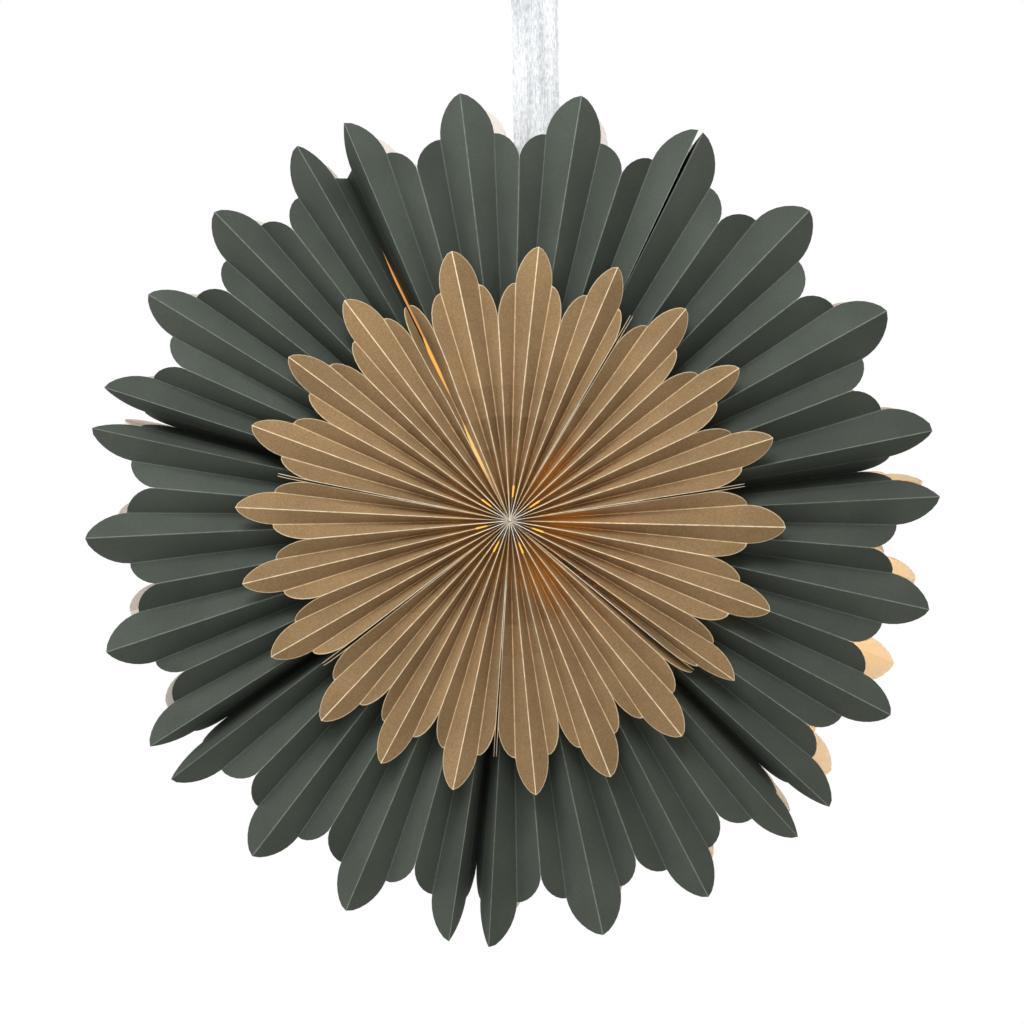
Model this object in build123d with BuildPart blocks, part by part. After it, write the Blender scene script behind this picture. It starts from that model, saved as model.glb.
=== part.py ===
from build123d import *
import os
from math import cos, hypot, radians, sin, tan

# A pleated paper star that hangs from a ribbon. Three rosettes, each of seven folded fans, lie
# one behind the other: a small centre rosette, a large front rosette and a like one at the back.
# The front faces -Y and the origin is the middle of the star, halfway between front and back.
# Lengths are in millimetres. Angles are in degrees, clockwise from the top, seen from the front.

# Paper
paper_thickness = 0.35
packed_steepness = 6.0
glue_gap = 0.3

# Front and back rosettes
petal_tip_radius = 350.0
petal_valley_radius = 317.0
petal_notch_radius = 292.0
rosette_inner_radius = 100.0
rosette_middle_level = 40.0
rosette_inner_fold = 24.0
rosette_rim_fold = 12.0
front_petals = 4
seam_inner_share = 0.03
seam_rim_share = 0.12
slit_inner_share = 0.3
slit_rim_share = 0.25
wall_fold_share = 0.4

# Centre rosette
centre_tip_radius = 223.5
centre_valley_radius = 193.0
centre_notch_radius = 161.0
centre_waist_radius = 60.0
centre_inner_radius = 4.0
centre_inner_fold = 16.5
centre_waist_fold = 15.5
centre_rim_fold = 9.0
centre_petals = 3
tab_seam_share = 0.02
tab_slit_share = 0.05
tab_share = 0.1

# Light windows, one on the middle fold of each centre fan
window_radius = 23.0
window_length = 8.0
window_width = 2.6

# Rounded ends of the pleats
lobe_end_share = 0.15
trim_margin = 5.0
trim_angle = 2.0

# Hanging ribbon
ribbon_width = 38.0
ribbon_thickness = 0.8
ribbon_offset = 26.0
ribbon_tilt = 1.0
ribbon_foot_height = 272.0
ribbon_neck_height = 452.0
ribbon_lap = 28.0
loop_radius = 14.0
loop_rise = 34.0

# Seams of the rosettes, then how far each fan's end petals stand from its first and last seam
closing_seam = 0
front_seams = [-26.7, 26.1, 82.5, 134.9, 185.8, 235.0, 285.0]
front_openings = [
    (3.6, 0.5), (0.5, 4.8), (4.9, 3.1), (3.1, 3.1), (3.1, 2.7), (2.7, 3.0), (2.9, 3.7),
]
back_openings = [
    (8.3, 0.5), (0.5, 4.8), (0.9, 7.3), (3.1, 3.1), (3.1, 2.7), (8.0, 0.7), (2.9, 3.7),
]
centre_seams = [-23.5, 30.7, 81.5, 129.5, 183.7, 232.4, 281.0]
centre_openings = [
    (10.5, 7.1), (8.9, 9.1), (9.8, 3.7), (12.3, 8.8), (8.4, 9.1), (7.7, 8.5), (8.8, 13.7),
]
fan_count = len(front_seams)

# Worked out from the sizes above
star_depth = 4 * rosette_middle_level + 2 * rosette_inner_fold
rosette_rim = petal_tip_radius + trim_margin
centre_rim = centre_tip_radius + trim_margin

rosette_reach = {
    "edge": petal_notch_radius,
    "wall": petal_valley_radius,
    "ridge": petal_tip_radius,
    "valley": petal_valley_radius,
    "notch": petal_notch_radius,
}
centre_reach = {
    "edge": centre_valley_radius,
    "hem": centre_notch_radius,
    "ridge": centre_tip_radius,
    "valley": centre_valley_radius,
    "notch": centre_notch_radius,
}


def ray(angle, radius):
    """Place of a point in the star's plane, at an angle and a distance from the middle."""
    return (radius * sin(radians(angle)), radius * cos(radians(angle)))


def blend(low, high, share):
    """Value that lies a share of the way from low to high."""
    return low + (high - low) * share


def fold_wall(radius, panel_angle, depth):
    """Front-to-back thickness of the paper where its panels stand as steeply as they do there."""
    run = radius * tan(radians(panel_angle))
    return paper_thickness * min(hypot(run, depth) / run, packed_steepness)


def span_of(seams, number):
    """First and last seam angle of one fan."""
    following = number + 1
    turns = following // len(seams)
    return seams[number], seams[following % len(seams)] + 360 * turns


def seam_shares(number, plain, slit):
    """Share of the opening that stays clear at a fan's first and last seam."""
    first = slit if number == closing_seam else plain
    last = slit if (number + 1) % fan_count == closing_seam else plain
    return first, last


def petal_folds(first_ridge, last_ridge, petals):
    """Folds from the first petal's ridge to the last one's, four panels to a petal."""
    pitch = (last_ridge - first_ridge) / (petals - 1)
    folds = []
    for petal in range(petals - 1):
        ridge = first_ridge + petal * pitch
        for quarter, kind in enumerate(("ridge", "valley", "notch", "valley")):
            folds.append((kind, ridge + quarter * pitch / 4))
    return folds + [("ridge", last_ridge)], pitch / 4


def rosette_folds(number, openings, plain_share, slit_share):
    """Folds of one front or back fan, with an end wall of two panels at each seam."""
    start, end = span_of(front_seams, number)
    opening, closing = openings[number]
    first_gap, last_gap = seam_shares(number, plain_share, slit_share)
    middle, panel = petal_folds(start + opening, end - closing, front_petals)
    head = [("edge", start + opening * first_gap), ("wall", start + opening * wall_fold_share)]
    tail = [("wall", end - closing * wall_fold_share), ("edge", end - closing * last_gap)]
    return head + middle + tail, panel


def centre_folds(number):
    """Folds of one centre fan, with a glue tab turned back at each seam."""
    start, end = span_of(centre_seams, number)
    opening, closing = centre_openings[number]
    first_gap, last_gap = seam_shares(number, tab_seam_share, tab_slit_share)
    middle, panel = petal_folds(start + opening, end - closing, centre_petals)
    first_step = min(panel, opening * (1 - tab_share) / 2)
    last_step = min(panel, closing * (1 - tab_share) / 2)
    first, last = start + opening, end - closing
    head = [
        ("edge", start + opening * first_gap),
        ("hem", first - 2 * first_step),
        ("valley", first - first_step),
    ]
    tail = [
        ("valley", last + last_step),
        ("hem", last + 2 * last_step),
        ("edge", end - closing * last_gap),
    ]
    return head + middle + tail, panel


def rosette_ridge_level(radius):
    """How far the mountain folds of the front rosette stand from the star's middle plane."""
    share = (radius - rosette_inner_radius) / (rosette_rim - rosette_inner_radius)
    return rosette_middle_level + blend(rosette_inner_fold, rosette_rim_fold, share) / 2


def station_plane(bearing, distance):
    """Upright plane across a fan: its x runs along the pleats' zigzag, its y to the back."""
    across = (cos(radians(bearing)), 0, -sin(radians(bearing)))
    outward = (sin(radians(bearing)), 0, cos(radians(bearing)))
    return Plane(origin=[distance * part for part in outward], x_dir=across, z_dir=outward)


def zigzag(folds, bearing, distance, levels, wall, side):
    """Closed zigzag of the paper on a station plane, its outer face on the given side."""
    outer = [
        (distance * tan(radians(angle - bearing)), side * levels[kind]) for kind, angle in folds
    ]
    inner = [(run, level - side * wall) for run, level in reversed(outer)]
    return outer + inner


def lobe(first, second, reach):
    """Rounded end of one panel, from the fold where it is long to the fold where it is short."""
    ends = [(reach[kind], angle) for kind, angle in (first, second)]
    (low, low_angle), (high, high_angle) = sorted(ends)
    short_end = Vector(*ray(low_angle, low))
    long_end = Vector(*ray(high_angle, high))
    along_fold = Vector(*ray(low_angle, 1))
    along_chord = (long_end - short_end).normalized()
    leave = along_fold + (along_chord - along_fold) * lobe_end_share
    TangentArc(short_end, long_end, tangent=leave)


def scallop(folds, reach):
    """Outline of a fan seen from the front, with a little spare width past its two seams."""
    (first_kind, first_angle), (last_kind, last_angle) = folds[0], folds[-1]
    first_corner = ray(first_angle - trim_angle, reach[first_kind])
    last_corner = ray(last_angle + trim_angle, reach[last_kind])
    Polyline((0, 0), first_corner, ray(first_angle, reach[first_kind]))
    for first, second in zip(folds, folds[1:]):
        lobe(first, second, reach)
    Polyline(ray(last_angle, reach[last_kind]), last_corner, (0, 0))


def make_rosette_fan(name, number, openings, side):
    """Fold, trim and write one fan of the front (side -1) or back (side 1) rosette."""
    bearing = sum(span_of(front_seams, number)) / 2
    stations = [
        (rosette_inner_radius, rosette_inner_fold, seam_inner_share, slit_inner_share),
        (rosette_rim, rosette_rim_fold, seam_rim_share, slit_rim_share),
    ]
    with BuildPart() as fan:
        for distance, depth, plain_share, slit_share in stations:
            folds, panel = rosette_folds(number, openings, plain_share, slit_share)
            wall = fold_wall(distance, panel, depth)
            ridge = rosette_middle_level + depth / 2
            edge = wall + glue_gap / 2
            levels = {
                "ridge": ridge,
                "notch": ridge,
                "valley": ridge - depth,
                "wall": (ridge + edge) / 2,
                "edge": edge,
            }
            with BuildSketch(station_plane(bearing, distance)):
                with BuildLine():
                    Polyline(*zigzag(folds, bearing, distance, levels, wall, side), close=True)
                make_face()
        loft(ruled=True)
        with BuildSketch(Plane.XZ):
            with BuildLine():
                scallop(folds, rosette_reach)
            make_face()
        extrude(amount=star_depth, both=True, mode=Mode.INTERSECT)
    fan.part.label = name
    export_step(fan.part, f"parts/{name}.step")


def make_centre_fan(name, number):
    """Fold, trim, pierce and write one fan of the centre rosette."""
    folds, panel = centre_folds(number)
    bearing = sum(span_of(centre_seams, number)) / 2
    stations = [
        (centre_inner_radius, centre_inner_fold),
        (centre_waist_radius, centre_waist_fold),
        (centre_rim, centre_rim_fold),
    ]
    seat_share = (rosette_inner_radius - centre_waist_radius) / (centre_rim - centre_waist_radius)
    seat_fold = blend(centre_waist_fold, centre_rim_fold, seat_share)
    seat_wall = blend(
        fold_wall(centre_waist_radius, panel, centre_waist_fold),
        fold_wall(centre_rim, panel, centre_rim_fold),
        seat_share,
    )
    seat_level = rosette_ridge_level(rosette_inner_radius) + glue_gap
    middle_level = seat_level + seat_wall + seat_fold / 2
    with BuildPart() as fan:
        for distance, depth in stations:
            wall = fold_wall(distance, panel, depth)
            ridge = middle_level + depth / 2
            levels = {
                "ridge": ridge,
                "notch": ridge,
                "hem": ridge,
                "valley": ridge - depth,
                "edge": rosette_ridge_level(distance) + glue_gap + wall,
            }
            with BuildSketch(station_plane(bearing, distance)):
                with BuildLine():
                    Polyline(*zigzag(folds, bearing, distance, levels, wall, -1), close=True)
                make_face()
        loft(ruled=True)
        with BuildSketch(Plane.XZ):
            with BuildLine():
                scallop(folds, centre_reach)
            make_face()
        extrude(amount=star_depth, both=True, mode=Mode.INTERSECT)
        middle_ridge = folds[len(folds) // 2][1]
        across, along = ray(middle_ridge, 1)
        window = ray(middle_ridge, window_radius)
        window_plane = Plane(
            origin=(window[0], 0, window[1]), x_dir=(across, 0, along), z_dir=(0, -1, 0)
        )
        with BuildSketch(window_plane):
            SlotOverall(window_length, window_width)
        extrude(amount=star_depth, mode=Mode.SUBTRACT)
    fan.part.label = name
    export_step(fan.part, f"parts/{name}.step")


def make_ribbon(name):
    """Fold the hanging ribbon: a flat strip with its upper end sewn down in a loop."""
    share = (ribbon_foot_height - rosette_inner_radius) / (rosette_rim - rosette_inner_radius)
    fold = blend(rosette_inner_fold, rosette_rim_fold, share)
    folds, panel = rosette_folds(0, front_openings, seam_rim_share, slit_rim_share)
    wall = blend(
        fold_wall(rosette_inner_radius, panel, rosette_inner_fold),
        fold_wall(rosette_rim, panel, rosette_rim_fold),
        share,
    )
    face_level = rosette_middle_level - fold / 2 - wall - glue_gap
    strip = -face_level + ribbon_thickness / 2
    lap = strip + ribbon_thickness
    neck = ribbon_neck_height
    crown = neck + loop_rise
    sink = loop_radius / loop_rise
    reach = cos_from_sin(sink) * loop_radius
    touch = crown - sink * loop_radius
    tilt = radians(ribbon_tilt)
    width_way = (cos(tilt), 0, sin(tilt))
    side_plane = Plane(
        origin=(ribbon_offset, 0, 0), x_dir=(0, 1, 0), z_dir=width_way
    )
    with BuildPart() as ribbon:
        with BuildSketch(side_plane):
            with BuildLine():
                Line((strip, ribbon_foot_height), (strip, neck))
            trace(line_width=ribbon_thickness)
            with BuildLine():
                Line((lap, neck - ribbon_lap), (lap, neck))
            trace(line_width=ribbon_thickness)
            with BuildLine():
                Line((strip, neck), (strip - reach, touch))
                ThreePointArc(
                    (strip - reach, touch), (strip, crown + loop_radius), (strip + reach, touch)
                )
                Line((strip + reach, touch), (lap, neck))
            trace(line_width=ribbon_thickness)
        extrude(amount=ribbon_width / 2, both=True)
    ribbon.part.label = name
    export_step(ribbon.part, f"parts/{name}.step")


def cos_from_sin(value):
    """Cosine of the angle in the first quarter that has this sine."""
    return (1 - value * value) ** 0.5


os.makedirs("parts", exist_ok=True)
for place in range(fan_count):
    make_centre_fan(f"centre_fan_{place + 1}", place)
    make_rosette_fan(f"front_fan_{place + 1}", place, front_openings, -1)
    make_rosette_fan(f"back_fan_{place + 1}", place, back_openings, 1)
make_ribbon("hanging_ribbon")
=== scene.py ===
"""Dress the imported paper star: pleated card rosettes, a crushed velvet ribbon and a plain studio."""
import logging
import random
from dataclasses import dataclass, field
from enum import Enum
from math import atan2, cos, hypot, pi, radians, sin, sqrt, tan
from typing import NamedTuple, Optional

import bpy
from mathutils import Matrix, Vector


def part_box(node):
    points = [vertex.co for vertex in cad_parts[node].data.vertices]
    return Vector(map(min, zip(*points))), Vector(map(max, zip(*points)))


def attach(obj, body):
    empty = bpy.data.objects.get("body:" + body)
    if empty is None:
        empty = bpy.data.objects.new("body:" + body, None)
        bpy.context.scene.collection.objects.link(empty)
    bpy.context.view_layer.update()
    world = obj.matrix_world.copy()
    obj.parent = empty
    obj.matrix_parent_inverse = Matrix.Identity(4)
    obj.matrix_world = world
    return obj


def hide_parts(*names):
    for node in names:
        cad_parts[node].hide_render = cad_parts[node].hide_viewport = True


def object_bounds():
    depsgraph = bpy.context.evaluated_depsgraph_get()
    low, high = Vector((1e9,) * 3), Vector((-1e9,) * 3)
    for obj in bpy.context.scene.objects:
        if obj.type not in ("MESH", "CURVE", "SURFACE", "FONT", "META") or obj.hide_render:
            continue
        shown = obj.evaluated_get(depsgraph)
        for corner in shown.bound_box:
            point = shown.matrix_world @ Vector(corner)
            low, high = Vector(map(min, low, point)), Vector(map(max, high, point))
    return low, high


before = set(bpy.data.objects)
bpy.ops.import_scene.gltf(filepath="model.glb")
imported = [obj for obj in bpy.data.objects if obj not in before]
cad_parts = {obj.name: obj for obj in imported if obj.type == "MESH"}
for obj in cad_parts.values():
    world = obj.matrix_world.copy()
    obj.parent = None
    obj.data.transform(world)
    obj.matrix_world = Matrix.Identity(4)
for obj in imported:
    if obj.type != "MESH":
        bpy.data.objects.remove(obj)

LOG = logging.getLogger("paper_star")
BODY = "root"
CAD_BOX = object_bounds()
PLEAT_MAP = "Pleat"
RIM_DISTANCE = "rim_distance"

PAPER_THICKNESS = 0.00035
GLUE_GAP = 0.0003
FAN_COUNT = 7
CLOSING_FAN = FAN_COUNT - 1
PANEL_STEP = 28
WALL_FOLDS = 2
INSIDE_SLOT = 1
EDGE_SLOT = 2

# Stretches of the noises' values that the finishes use
FIBRE_DETAIL = 4.0
GRAIN_RANGE = (0.25, 0.75)
CLOUD_RANGE = (0.3, 0.7)
ROUGH_RANGE = (0.2, 0.8)
WEAR_RANGE = (0.3, 0.6)
LEAST_WEAR = 0.6

# Share of a pale line's width at full strength, and of a soft patch's length that thins
LINE_CORE = 1 / 3
SOFT_TAPER = 0.75

Colour = tuple[float, float, float]
Place = tuple[float, float, float]
Point = tuple[float, float]


def lerp(low: float, high: float, share: float) -> float:
    """Value that lies a share of the way from low to high."""
    return low + (high - low) * share


def share_of(value: float, rows: Point) -> float:
    """Share of the way that a value lies from the first row to the second, held between 0 and 1."""
    low, high = rows
    return min(1.0, max(0.0, (value - low) / (high - low)))


def fan_panel(number: int, panel: float) -> float:
    """Panel coordinate of a panel of one fan, both counted from 0."""
    return PANEL_STEP * number + panel


def rgba(colour: Colour) -> tuple[float, float, float, float]:
    """Colour with full alpha, as a socket takes it."""
    return (*colour, 1.0)


BLACK = rgba((0.0, 0.0, 0.0))


def deselect_all() -> None:
    """Leave object mode with nothing selected."""
    if bpy.context.object and bpy.context.object.mode != "OBJECT":
        bpy.ops.object.mode_set(mode="OBJECT")
    bpy.ops.object.select_all(action="DESELECT")


def apply_modifier(piece: bpy.types.Object, kind: str, **settings: object) -> None:
    """Add a modifier to a piece, set it and apply it.

    Args:
        piece: The object to finish.
        kind: Blender's name for the kind of modifier.
        **settings: Values for the modifier's own properties.
    """
    modifier = piece.modifiers.new(kind.title(), kind)
    for key, value in settings.items():
        setattr(modifier, key, value)
    bpy.context.view_layer.objects.active = piece
    bpy.ops.object.modifier_apply(modifier=modifier.name)


class Side(Enum):
    """Which way a rosette's printed side looks along Y."""

    FRONT = -1
    BACK = 1


class Fold(Enum):
    """Kinds of line across a fan, in the words of a folder."""

    EDGE = "edge"
    WALL = "wall"
    HEM = "hem"
    RIDGE = "ridge"
    VALLEY = "valley"
    NOTCH = "notch"


class NodeGraph:
    """Small helper that adds shader nodes to one material and links them."""

    def __init__(self, name: str) -> None:
        """Start a material with a Principled shader.

        Args:
            name: The material's name.
        """
        self.material = bpy.data.materials.new(name)
        self.material.use_nodes = True
        self.tree = self.material.node_tree
        self.shader = self.tree.nodes["Principled BSDF"]

    def add(self, kind: str, **settings: object) -> bpy.types.Node:
        """Add a node.

        Args:
            kind: Blender's node type.
            **settings: Values for the node's own properties.

        Returns:
            The new node.
        """
        node = self.tree.nodes.new(kind)
        for key, value in settings.items():
            setattr(node, key, value)
        return node

    def feed(self, socket: bpy.types.NodeSocket, value: object) -> None:
        """Link a socket to another, or set it to a plain value.

        Args:
            socket: The input to feed.
            value: Another node's output, or the plain value.
        """
        if isinstance(value, bpy.types.NodeSocket):
            self.tree.links.new(value, socket)
        else:
            socket.default_value = value

    def math(self, operation: str, first: object, second: object = 0.0) -> bpy.types.NodeSocket:
        """Add one arithmetic node.

        Args:
            operation: Blender's name for the sum.
            first: Its first value.
            second: Its second value, where it has one.

        Returns:
            The result.
        """
        node = self.add("ShaderNodeMath", operation=operation)
        self.feed(node.inputs[0], first)
        self.feed(node.inputs[1], second)
        return node.outputs[0]

    def ramp(
        self, value: object, low: float, high: float, start: float, end: float
    ) -> bpy.types.NodeSocket:
        """Change smoothly from one value to another.

        Args:
            value: What the change follows.
            low: Value that it begins at.
            high: Value that it is over at.
            start: Result up to low.
            end: Result from high on.

        Returns:
            The result.
        """
        node = self.add("ShaderNodeMapRange", interpolation_type="SMOOTHSTEP")
        for socket, given in zip(node.inputs[:5], (value, low, high, start, end)):
            self.feed(socket, given)
        return node.outputs[0]

    def mix(self, share: object, first: object, second: object) -> bpy.types.NodeSocket:
        """Mix two colours.

        Args:
            share: Share of the second colour.
            first: The first colour.
            second: The second colour.

        Returns:
            The mixed colour.
        """
        node = self.add("ShaderNodeMix", data_type="RGBA")
        self.feed(node.inputs["Factor"], share)
        colours = [socket for socket in node.inputs if socket.type == "RGBA"]
        for socket, given in zip(colours, (first, second)):
            self.feed(socket, given)
        return next(socket for socket in node.outputs if socket.type == "RGBA")

    def noise(self, place: object, scale: float, detail: float = 3.0) -> bpy.types.NodeSocket:
        """Add a grey noise.

        Args:
            place: Where it is read.
            scale: How fine it is.
            detail: How many finer layers it has.

        Returns:
            The noise, from 0 to 1.
        """
        node = self.add("ShaderNodeTexNoise")
        self.feed(node.inputs["Vector"], place)
        node.inputs["Scale"].default_value = scale
        node.inputs["Detail"].default_value = detail
        return node.outputs["Fac"]

    def stretch(self, place: object, scale: Place) -> bpy.types.NodeSocket:
        """Scale a place along each axis, for a noise that is longer one way.

        Args:
            place: Where on the piece.
            scale: Factors along the axes.

        Returns:
            The scaled place.
        """
        node = self.add("ShaderNodeMapping")
        self.feed(node.inputs["Vector"], place)
        node.inputs["Scale"].default_value = scale
        return node.outputs[0]

    def shade(self, colour: object, amount: object) -> bpy.types.NodeSocket:
        """Make a colour lighter or darker.

        Args:
            colour: The colour.
            amount: Factor on its value.

        Returns:
            The new colour.
        """
        node = self.add("ShaderNodeHueSaturation")
        self.feed(node.inputs["Value"], amount)
        self.feed(node.inputs["Color"], colour)
        return node.outputs[0]

    def bump(self, height: object, strength: float, distance: float) -> None:
        """Give the shader a bump.

        Args:
            height: What it rises and falls with.
            strength: How strong it is.
            distance: How high it is, in metres.
        """
        node = self.add("ShaderNodeBump")
        node.inputs["Strength"].default_value = strength
        node.inputs["Distance"].default_value = distance
        self.feed(node.inputs["Height"], height)
        self.feed(self.shader.inputs["Normal"], node.outputs[0])


@dataclass(frozen=True)
class LitPatch:
    """Patch of painted glow on a fan, standing in for the lamp's light through the card, with painted shade
    under it, thinning to a point at its outer end.

    Panels are counted from the first edge of the first fan. With a repeat, each fan has the patch.
    """

    panel: float
    half_width: float
    rows: Point
    taper: float
    repeat: Optional[float] = None
    soft: float = 0.125
    soft_start: float = 0.0008
    # Painted shade: how much the card's colour is darkened under the patch. Painted glow: emitted colour
    # that stands in for the lamp's light.
    shade: float = 0.8
    glow: Colour = (1.0, 0.50, 0.10)
    under_folds: bool = False

    def mask(self, graph: NodeGraph, panel: object, radius: object) -> bpy.types.NodeSocket:
        """How much a place on the card lies in the patch.

        Args:
            graph: The card's nodes.
            panel: Panel coordinate.
            radius: Metres from the axis of the star.

        Returns:
            A value from 0 to 1.
        """
        place = graph.math("MODULO", panel, self.repeat) if self.repeat else panel
        aside = graph.math("ABSOLUTE", graph.math("SUBTRACT", place, self.panel))
        inner, outer = self.rows
        width = graph.ramp(radius, outer - self.taper, outer, self.half_width, 0.0)
        room = graph.math("SUBTRACT", width, aside)
        inside = graph.ramp(room, 0.0, self.half_width * self.soft, 0.0, 1.0)
        begun = graph.ramp(radius, inner, inner + self.soft_start, 0.0, 1.0)
        return graph.math("MULTIPLY", inside, begun)


def soft_glow(
    panel: float, half_width: float, rows: Point, soft_start: float, glow: Colour,
    shade: float = 0.45, soft: float = 1.0, repeat: Optional[float] = None,
) -> LitPatch:
    """A patch with no sharp edge: painted glow for the lamp's light through the card, with painted shade
    under it.

    Args:
        panel: Panel coordinate of its middle.
        half_width: Panels from its middle to its side.
        rows: Radii that it starts and ends at.
        soft_start: Length over which it grows to its full strength.
        glow: Painted glow, standing in for the light that comes through.
        shade: Painted shade, how much darker the card's colour is painted there.
        soft: Share of its width over which it fades to the sides.
        repeat: Panels from one fan's patch to the next one's.

    Returns:
        The patch.
    """
    taper = SOFT_TAPER * rows[1]
    return LitPatch(panel, half_width, rows, taper, repeat, soft, soft_start, shade, glow, under_folds=True)


@dataclass(frozen=True)
class CardFinish:
    """Card printed on one side, with a pale core that shows at its mountain folds and cut edges, and pale
    lines along its valleys.
    """

    name: str
    slot: str
    printed: Colour
    inside: Colour
    edge: Colour
    mountain: Colour
    valley: Colour
    mountain_strength: float
    valley_strength: float
    fold_width: float = 0.0006
    fine_rows: Point = (0.004, 0.060)
    fine_share: float = 0.7
    rim_strength: float = 0.0
    rim_width: float = 0.0008
    valley_rows: Point = (0.035, 0.100)
    panel_turn: float = 3.2
    grain_scale: float = 700.0
    cloud_scale: float = 16.0
    grain: float = 0.10
    cloud: float = 0.10
    panel_tone: float = 0.08
    wear_scale: float = 220.0
    roughness: float = 0.72
    roughness_play: float = 0.06
    relief: float = 0.12
    relief_depth: float = 0.0002
    gloss: float = 0.12
    glow: float = 0.0
    glow_reach: float = 0.0009
    glow_tint: Colour = (1.0, 0.82, 0.55)
    patches: tuple[LitPatch, ...] = ()

    def materials(self) -> list[bpy.types.Material]:
        """Materials of the printed side, the inside and the cut edge, in that order."""
        plain_sides = (("inside", self.inside), ("edge", self.edge))
        return [self._printed_side(), *(self._plain_side(part, base) for part, base in plain_sides)]

    def _finish(self, graph: NodeGraph, colour: object, fibre: object) -> bpy.types.Material:
        """Set what all sides of the card share: matt surface, fibre relief and glow.

        Args:
            graph: The side's nodes.
            colour: Its colour.
            fibre: Noise of the card's fibres.

        Returns:
            The side's material.
        """
        shader = graph.shader
        graph.feed(shader.inputs["Base Color"], colour)
        smoothest, roughest = self.roughness - self.roughness_play, self.roughness + self.roughness_play
        graph.feed(shader.inputs["Roughness"], graph.ramp(fibre, *ROUGH_RANGE, smoothest, roughest))
        shader.inputs["Specular IOR Level"].default_value = self.gloss
        if self.glow > 0.0:
            shader.inputs["Subsurface Weight"].default_value = self.glow
            shader.inputs["Subsurface Radius"].default_value = self.glow_tint
            shader.inputs["Subsurface Scale"].default_value = self.glow_reach
        graph.bump(fibre, self.relief, self.relief_depth)
        return graph.material

    def _printed_side(self) -> bpy.types.Material:
        """Make the printed card, mottled, pale along its folds, with painted glow and painted shade at its
        patches.

        Returns:
            The side's material.
        """
        graph = NodeGraph(f"{self.name}_printed")
        place = graph.add("ShaderNodeTexCoord").outputs["Object"]
        pleat = graph.add("ShaderNodeSeparateXYZ")
        graph.feed(pleat.inputs[0], graph.add("ShaderNodeUVMap", uv_map=PLEAT_MAP).outputs[0])
        panel, radius = pleat.outputs["X"], pleat.outputs["Y"]
        fibre = graph.noise(place, self.grain_scale, FIBRE_DETAIL)
        colour = self._mottled(graph, place, fibre, panel)
        # Painted glow and painted shade: the soft patches go under the fold lines, the sharp windows and
        # slits over them
        warm = [patch for patch in self.patches if patch.under_folds]
        bright = [patch for patch in self.patches if not patch.under_folds]
        colour, glow = self._paint_glow_and_shade(graph, warm, (panel, radius), (colour, BLACK))
        # Fold lines cover the painted glow under them
        for line, shown in self._fold_lines(graph, place, panel, radius):
            colour = graph.mix(line, colour, rgba(shown))
            glow = graph.mix(line, glow, BLACK) if warm else glow
        if self.rim_strength > 0.0:
            distance = graph.add("ShaderNodeAttribute", attribute_name=RIM_DISTANCE).outputs["Fac"]
            core = self.rim_width * LINE_CORE
            rim = graph.ramp(distance, core, self.rim_width, self.rim_strength, 0.0)
            colour = graph.mix(rim, colour, rgba(self.mountain))
        # Painted glow and painted shade of the windows and slits, over the fold lines
        colour, glow = self._paint_glow_and_shade(graph, bright, (panel, radius), (colour, glow))
        # The painted glow is given out as emission
        if self.patches:
            graph.feed(graph.shader.inputs["Emission Color"], glow)
            graph.shader.inputs["Emission Strength"].default_value = 1.0
        return self._finish(graph, colour, fibre)

    def _mottled(
        self, graph: NodeGraph, place: object, fibre: object, panel: object
    ) -> bpy.types.NodeSocket:
        """Printed colour with fine grain, soft clouds and a tone of its own on each panel.

        Args:
            graph: The printed side's nodes.
            place: Where on the piece the card is.
            fibre: Noise of the card's fibres.
            panel: Panel coordinate.

        Returns:
            The colour without folds or light.
        """
        cloud = graph.noise(place, self.cloud_scale)
        tone = graph.add("ShaderNodeTexWhiteNoise", noise_dimensions="1D")
        graph.feed(tone.inputs["W"], graph.math("FLOOR", panel))
        value = graph.ramp(fibre, *GRAIN_RANGE, 1.0 - self.grain, 1.0 + self.grain)
        cloud_value = graph.ramp(cloud, *CLOUD_RANGE, 1.0 - self.cloud, 1.0 + self.cloud)
        value = graph.math("MULTIPLY", value, cloud_value)
        low, high = 1.0 - self.panel_tone, 1.0 + self.panel_tone
        value = graph.math("MULTIPLY", value, graph.ramp(tone.outputs["Value"], 0.0, 1.0, low, high))
        return graph.shade(rgba(self.printed), value)

    def _fold_lines(
        self, graph: NodeGraph, place: object, panel: object, radius: object
    ) -> list[tuple[bpy.types.NodeSocket, Colour]]:
        """Pale lines along the folds: worn print along the mountains, and paler lines along the valleys
        that fade out towards the middle.

        Args:
            graph: The printed side's nodes.
            place: Where on the piece the card is.
            panel: Panel coordinate, even at the mountains.
            radius: Metres from the axis of the star.

        Returns:
            Strength and colour of the mountains' lines, then of the valleys'.
        """
        width = graph.math("MULTIPLY", radius, radians(self.panel_turn))
        width = graph.math("DIVIDE", width, graph.ramp(radius, *self.fine_rows, self.fine_share, 1.0))
        from_mountain = graph.math("PINGPONG", panel, 1.0)
        from_valley = graph.math("SUBTRACT", 1.0, from_mountain)
        wear = graph.ramp(graph.noise(place, self.wear_scale), *WEAR_RANGE, LEAST_WEAR, 1.0)
        valley_line_share = graph.math("MULTIPLY", wear, graph.ramp(radius, *self.valley_rows, 0.0, 1.0))
        mountain = self._fold_line(graph, from_mountain, width, self.mountain_strength)
        valley = self._fold_line(graph, from_valley, width, self.valley_strength)
        return [
            (graph.math("MULTIPLY", mountain, wear), self.mountain),
            (graph.math("MULTIPLY", valley, valley_line_share), self.valley),
        ]

    def _fold_line(
        self, graph: NodeGraph, share: object, panel_width: object, strength: float
    ) -> bpy.types.NodeSocket:
        """Strength of a fold's pale line, at a share of the panel's width away from the fold."""
        distance = graph.math("MULTIPLY", share, panel_width)
        return graph.ramp(distance, self.fold_width * LINE_CORE, self.fold_width, strength, 0.0)

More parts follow.
